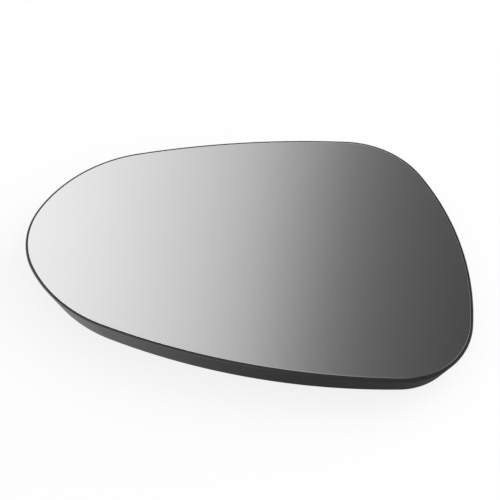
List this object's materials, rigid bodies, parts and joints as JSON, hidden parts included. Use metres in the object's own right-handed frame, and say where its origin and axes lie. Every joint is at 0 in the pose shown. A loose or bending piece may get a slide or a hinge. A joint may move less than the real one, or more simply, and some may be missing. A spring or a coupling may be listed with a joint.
{
  "type": "car door mirror glass",
  "caption": "Convex teardrop mirror glass for a car door mirror, bonded into a moulded backing plate with a rear clip collar.",
  "frame": {"origin": "on the clip collar's axis, in the plane of the rear rim that the part rests on", "axes": "+X along the glass to its wide end, +Y to its top edge as fitted, +Z out of the mirror face"},
  "size_m": [0.1754, 0.1159, 0.0175],
  "materials": {
    "mirror": "polished",
    "pad": "matte foam",
    "plate": "satin moulded"
  },
  "bodies": {
    "root": {"mirror_glass": "mirror", "adhesive_pad": "pad", "backing_plate": "plate"}
  },
  "joints": []
}
